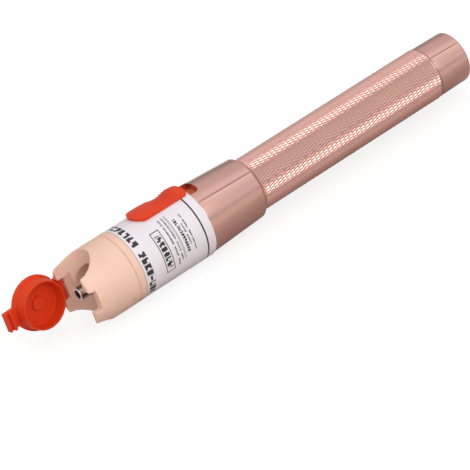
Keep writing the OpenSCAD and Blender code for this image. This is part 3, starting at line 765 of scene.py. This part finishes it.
class PEN_OT_nose(bpy.types.Operator):
    """Builds the moulded nose with its two jaws"""

    bl_idname = "pen.nose"
    bl_label = "Nose"

    def execute(self, context):
        sizes = context.scene.pen_sizes
        start, end = span("nose_shroud")
        piece = moulded("nose_shroud", voxel=0.24 * MM, rounds=3)
        grow(piece, rib_tree(), {"Start": start + sizes.rib_front, "End": end - sizes.rib_rear,
                                 "Pitch": sizes.rib_pitch, "Height": -sizes.rib_depth,
                                 "Facing": sizes.rib_facing, "Spread": sizes.rib_spread,
                                 "Low Radius": sizes.rib_floor_r,
                                 "Material": FINISHES["nose_plastic"].material})
        fit(piece, "pen", "nose_plastic", "nose_shroud")
        return {"FINISHED"}


class PEN_OT_dust_cap(bpy.types.Operator):
    """Builds the moulded dust cap"""

    bl_idname = "pen.dust_cap"
    bl_label = "Dust cap"

    def execute(self, context):
        piece = moulded("dust_cap", voxel=0.16 * MM, rounds=2)
        fit(piece, "cap", "orange_plastic", "dust_cap")
        return {"FINISHED"}


class PEN_OT_slider(bpy.types.Operator):
    """Builds the thumb slider with its ridges"""

    bl_idname = "pen.slider"
    bl_label = "Thumb slider"

    def execute(self, context):
        sizes = context.scene.pen_sizes
        start, end = span("slide_knob")
        piece = moulded("slide_knob", voxel=0.14 * MM, rounds=3)
        grow(piece, rib_tree(), {"Start": start + sizes.ridge_front, "End": end - sizes.ridge_rear,
                                 "Pitch": sizes.ridge_pitch, "Height": sizes.ridge_height,
                                 "Facing": 0.0, "Spread": sizes.ridge_spread,
                                 "Low Radius": LABEL_R + sizes.ridge_floor,
                                 "Material": FINISHES["orange_plastic"].material})
        fit(piece, "slider", "orange_plastic", "slide_knob")
        return {"FINISHED"}


class PEN_OT_barrel(bpy.types.Operator):
    """Turns the collar and the grip, cuts the notch and knurls the grip"""

    bl_idname = "pen.barrel"
    bl_label = "Knurled barrel"

    def execute(self, context):
        sizes = context.scene.pen_sizes
        collar_end = COLLAR_X + sizes.collar_len
        chamfer_end = collar_end + sizes.chamfer_len
        knurl_start = chamfer_end + sizes.plain_len
        knurl_end = SEAM_X - sizes.rear_band_len
        band_r = sizes.grip_r - sizes.band_drop
        root_r = sizes.grip_r - sizes.knurl_depth
        fine = sizes.edge_break
        bore_x = COLLAR_X + sizes.collar_bore_len
        thread_x = SEAM_X - sizes.thread_bore_len
        piece = turned("barrel_looks", (
            (COLLAR_X, COLLAR_R, sizes.collar_front_round),
            (collar_end, sizes.collar_rear_r, sizes.collar_rear_round),
            (chamfer_end, band_r, sizes.chamfer_round), (knurl_start, band_r, fine / 2),
            (knurl_start + fine, root_r, 0), (knurl_end - fine, root_r, 0), (knurl_end, band_r, fine / 2),
            (SEAM_X, band_r, fine / 2), (SEAM_X, sizes.thread_bore_r, fine),
            (thread_x, sizes.thread_bore_r, 0), (thread_x, sizes.cell_bore_r, 0),
            (bore_x, sizes.cell_bore_r, 0), (bore_x, sizes.collar_bore_r, 0),
            (COLLAR_X, sizes.collar_bore_r, fine)))
        self.cut_notch(piece, sizes)
        shade(piece)
        half_pitch = sizes.knurl_pitch / 2
        rows = round((knurl_end - knurl_start) / half_pitch) + 1
        grow(piece, knurl_tree(), {"Root Radius": root_r, "Depth": sizes.knurl_depth,
                                   "Start": knurl_start - half_pitch, "Half Pitch": half_pitch,
                                   "Crest Share": sizes.crest_share, "Twist": sizes.knurl_twist,
                                   "Low": chamfer_end - fine, "High": knurl_end,
                                   "Around": sizes.knurl_count, "Rows": rows,
                                   "Material": FINISHES["rose_aluminium"].material})
        fit(piece, "pen", "rose_aluminium", "barrel")
        return {"FINISHED"}

    def cut_notch(self, piece, sizes):
        """Cuts the notch with rounded inner corners into the collar's front edge."""
        half, corner = sizes.notch_w / 2, sizes.notch_corner_r
        back = COLLAR_X + sizes.notch_depth
        front = COLLAR_X - sizes.notch_overrun
        arc = [math.pi / 2 * k / NOTCH_STEPS for k in range(NOTCH_STEPS + 1)]
        near = [(back - corner + corner * math.sin(a), -half + corner - corner * math.cos(a)) for a in arc]
        far = [(x, -y) for x, y in reversed(near)]
        shape = bmesh.new()
        low = [shape.verts.new((x, y, 0)) for x, y in [(front, -half)] + near + far + [(front, half)]]
        floor = shape.faces.new(low)
        top = bmesh.ops.extrude_face_region(shape, geom=[floor])
        moved = [v for v in top["geom"] if isinstance(v, bmesh.types.BMVert)]
        bmesh.ops.translate(shape, vec=(0, 0, COLLAR_R + sizes.notch_overrun), verts=moved)
        bmesh.ops.recalc_face_normals(shape, faces=shape.faces)
        mesh = bpy.data.meshes.new("notch_cutter")
        shape.to_mesh(mesh)
        shape.free()
        cutter = new_piece("notch_cutter", mesh)
        cut = piece.modifiers.new("notch", "BOOLEAN")
        cut.operation = "DIFFERENCE"
        cut.solver = "EXACT"
        cut.object = cutter
        settle(piece)
        bpy.data.objects.remove(cutter)


class PEN_OT_tail_cap(bpy.types.Operator):
    """Turns the tail cap and its thread"""

    bl_idname = "pen.tail_cap"
    bl_label = "Tail cap"

    def execute(self, context):
        sizes = context.scene.pen_sizes
        front_x = SEAM_X + sizes.seam_gap
        inner_r = sizes.cell_bore_r - sizes.bore_play
        floor_x = TAIL_END_X - sizes.tail_wall
        root_r = sizes.tail_spigot_r - sizes.thread_depth
        neck_x = SEAM_X - sizes.neck_len
        fine = sizes.edge_break
        piece = turned("tail_cap_looks", (
            (front_x, TAIL_R, fine), (TAIL_END_X, TAIL_R - sizes.tail_taper, sizes.tail_round),
            (TAIL_END_X, sizes.axis_r, 0), (floor_x, sizes.axis_r, 0),
            (floor_x, inner_r, sizes.tail_floor_round), (TAIL_SPIGOT_X, inner_r, fine),
            (TAIL_SPIGOT_X, root_r, fine), (neck_x, root_r, 0), (neck_x, sizes.tail_spigot_r, 0),
            (front_x, sizes.tail_spigot_r, 0)))
        shade(piece)
        start = TAIL_SPIGOT_X + sizes.thread_lead
        run = neck_x - start - sizes.thread_runout
        wire = sizes.thread_depth / 2
        grow(piece, thread_tree(), {"Radius": root_r + wire, "Wire": wire, "Start": start, "Length": run,
                                    "Turns": run / sizes.thread_pitch,
                                    "Material": FINISHES["rose_aluminium"].material})
        fit(piece, "tail", "rose_aluminium", "tail_cap")
        return {"FINISHED"}


WORLD_STRENGTH = 2.0
# Brightness of the studio against the angle about the pen's axis, from straight up to the near side
STUDIO_BANDS = ((-180, 0.62), (-100, 0.56), (-86, 0.36), (-73, 0.40), (-61, 0.52), (-49, 0.66), (-37, 0.74),
                (-13, 0.78), (-2, 0.92), (12, 1.06), (30, 1.04), (46, 0.98), (58, 0.86), (70, 0.90),
                (78, 0.80), (84, 0.68), (180, 0.66))
# A patch of the studio: its angles about the pen and its X part, each with a soft edge, and its level as
# a share of the world's strength. In order: a dark and a pale line that the smooth metal alone sees, the
# dim end of the studio behind the tail, and a bright panel ahead that the knurl's flanks alone see.
Patch = namedtuple("Patch", "turn turn_soft along along_soft level")
STUDIO_PATCHES = (
    Patch(turn=(20, 25.5), turn_soft=1.5, along=(0.37, 0.66), along_soft=0.04, level=0.16),
    Patch(turn=(27, 30.5), turn_soft=1.2, along=(0.37, 0.66), along_soft=0.04, level=0.76),
    Patch(turn=(-181, 181), turn_soft=1.0, along=(0.8, 1.2), along_soft=0.12, level=0.36),
    Patch(turn=(44, 70), turn_soft=14, along=(-0.3, 0.32), along_soft=0.06, level=1.8),
)


class PEN_OT_stage(bpy.types.Operator):
    """Sets the floor, the studio light and the camera at the photograph's view"""

    bl_idname = "pen.stage"
    bl_label = "Stage"

    def execute(self, context):
        stage = context.scene.pen_stage
        self.floor(context, stage)
        self.studio(context)
        self.camera(context, stage)
        self.key_light(stage)
        context.scene.view_settings.view_transform = "Standard"
        return {"FINISHED"}

    def sheet(self, name, stage, near, far, height, **constants):
        """A wide level sheet, with one tone near the pen and one farther off; on the shade sheet the darker
        near tone is painted shade.
        """
        reach = stage.sheet_reach
        mesh = bpy.data.meshes.new(name)
        corners = [(-reach, -reach, height), (reach, -reach, height), (reach, reach, height),
                   (-reach, reach, height)]
        mesh.from_pydata(corners, [], [(0, 1, 2, 3)])
        finish = Finish(name, Specular_IOR_Level=0.1, **constants)
        aside = finish.parts(finish.place)[1].math("ABSOLUTE")
        unevenness = 0.04
        off = (aside - stage.near_shade_w / MM) / (stage.shade_fade / MM)
        off = (off + unevenness * finish.noise(scale=0.01, detail=2)).clamped()
        finish.feed("Base Color", finish.mix(off, (*near, 1), (*far, 1)))
        finish.vary("Roughness", about=0.85, spread=0.1, noise=finish.noise(scale=0.05, detail=2))
        mesh.materials.append(finish.material)
        sheet = new_piece(name, mesh)
        return sheet

    def floor(self, context, stage):
        """The white floor that the camera sees, and a darker sheet of painted shade that only the pen sees,
        in its reflections and its bounce light.
        """
        colours = context.scene.pen_colours
        floor = self.sheet("floor", stage, colours.floor, colours.floor, FLOOR_Z,
                           Emission_Color=(1, 1, 1, 1), Emission_Strength=stage.floor_glow)
        floor.visible_diffuse = False
        floor.visible_glossy = False
        floor.visible_transmission = False
        floor.visible_shadow = False
        # Painted shade: a darker sheet, hidden from the camera, that darkens the pen's reflections and
        # undersides
        table = self.sheet("table", stage, colours.table, colours.shade_table_far, FLOOR_Z - stage.shade_table_drop)
        table.visible_camera = False

    def studio(self, context):
        """Soft bands round the pen, seen as long bands in the metal, and the patches ahead and behind."""
        world = bpy.data.worlds.new("studio")
        context.scene.world = world
        world.use_nodes = True
        tree = Tree(world.node_tree)
        tree.nodes.nodes.clear()
        x, y, z = tree.parts(tree.node("ShaderNodeTexCoord", None, (), "Generated"))
        turn = (0 - y).math("ARCTAN2", z) * math.degrees(1)
        ramp = tree.node("ShaderNodeValToRGB",
                         {"stops": [((degrees + 180) / 360, level / WORLD_STRENGTH)
                                    for degrees, level in STUDIO_BANDS]},
                         ((turn + 180) / 360,))
        level = ramp
        for patch in STUDIO_PATCHES:
            reach = x.between(*patch.along, patch.along_soft) * turn.between(*patch.turn, patch.turn_soft)
            level = tree.mix(reach, level, (patch.level, patch.level, patch.level, 1))
        light = tree.node("ShaderNodeBackground", None, {"Color": level, "Strength": WORLD_STRENGTH})
        surface = tree.nodes.nodes.new("ShaderNodeOutputWorld")
        tree.nodes.links.new(light.socket, surface.inputs[0])

    def camera(self, context, stage):
        """A camera that sees the pen as the photograph does."""
        along = Vector((math.cos(stage.tilt) * math.cos(stage.slope),
                        math.cos(stage.tilt) * math.sin(stage.slope), -math.sin(stage.tilt)))
        facing = Vector((math.sin(stage.tilt) * math.cos(stage.slope),
                         math.sin(stage.tilt) * math.sin(stage.slope), math.cos(stage.tilt)))
        across = Vector((-math.sin(stage.slope), math.cos(stage.slope), 0))
        up = math.cos(stage.roll) * facing + math.sin(stage.roll) * across
        turn = Matrix((along, up.cross(along), up))
        half = stage.picture_px / 2
        port = Vector(((stage.port_px[0] - half) / stage.focal_px, (half - stage.port_px[1]) / stage.focal_px,
                       -1)) * stage.distance
        data = bpy.data.cameras.new("camera")
        data.sensor_width = stage.sensor_mm
        data.lens = stage.focal_px / stage.picture_px * data.sensor_width
        data.clip_start = stage.clip_start
        camera = new_piece("camera", data)
        camera.matrix_world = Matrix.Translation(-(turn @ port)) @ turn.to_4x4()
        context.scene.camera = camera

    def key_light(self, stage):
        """One large soft light low on the near side."""
        data = bpy.data.lights.new("key", "AREA")
        data.shape = "RECTANGLE"
        data.size, data.size_y = stage.key_size
        data.energy = stage.key_watts
        lamp = new_piece("key", data)
        place = Vector(stage.key_place)
        aim = Vector(stage.key_aim) - place
        lamp.matrix_world = Matrix.Translation(place) @ aim.to_track_quat("-Z", "Y").to_matrix().to_4x4()
        lamp.visible_glossy = False


OPERATORS = (PEN_OT_inner_parts, PEN_OT_nose, PEN_OT_dust_cap, PEN_OT_slider, PEN_OT_barrel,
             PEN_OT_tail_cap, PEN_OT_stage)


class PEN_PT_build(bpy.types.Panel):
    """Lists the pen's pieces in the order in which they are made"""

    bl_idname = "PEN_PT_build"
    bl_label = "Fault locator pen"
    bl_space_type = "VIEW_3D"
    bl_region_type = "UI"
    bl_category = "Pen"

    def draw(self, context):
        column = self.layout.column()
        for operator in OPERATORS:
            column.operator(operator.bl_idname)


GROUPS = {"pen_sizes": PenSizes, "pen_colours": PenColours, "pen_stage": PenStage}


def register():
    """Registers the property groups, the operators and the panel."""
    for name, group in GROUPS.items():
        bpy.utils.register_class(group)
        setattr(bpy.types.Scene, name, PointerProperty(type=group))
    for item in (*OPERATORS, PEN_PT_build):
        bpy.utils.register_class(item)


def unregister():
    """Takes everything out again."""
    for item in (PEN_PT_build, *reversed(OPERATORS)):
        bpy.utils.unregister_class(item)
    for name, group in GROUPS.items():
        delattr(bpy.types.Scene, name)
        bpy.utils.unregister_class(group)


def main():
    """Registers the panel and its operators, and builds every piece."""
    register()
    for operator in OPERATORS:
        family, action = operator.bl_idname.split(".")
        getattr(getattr(bpy.ops, family), action)()


if __name__ == "__main__":
    main()
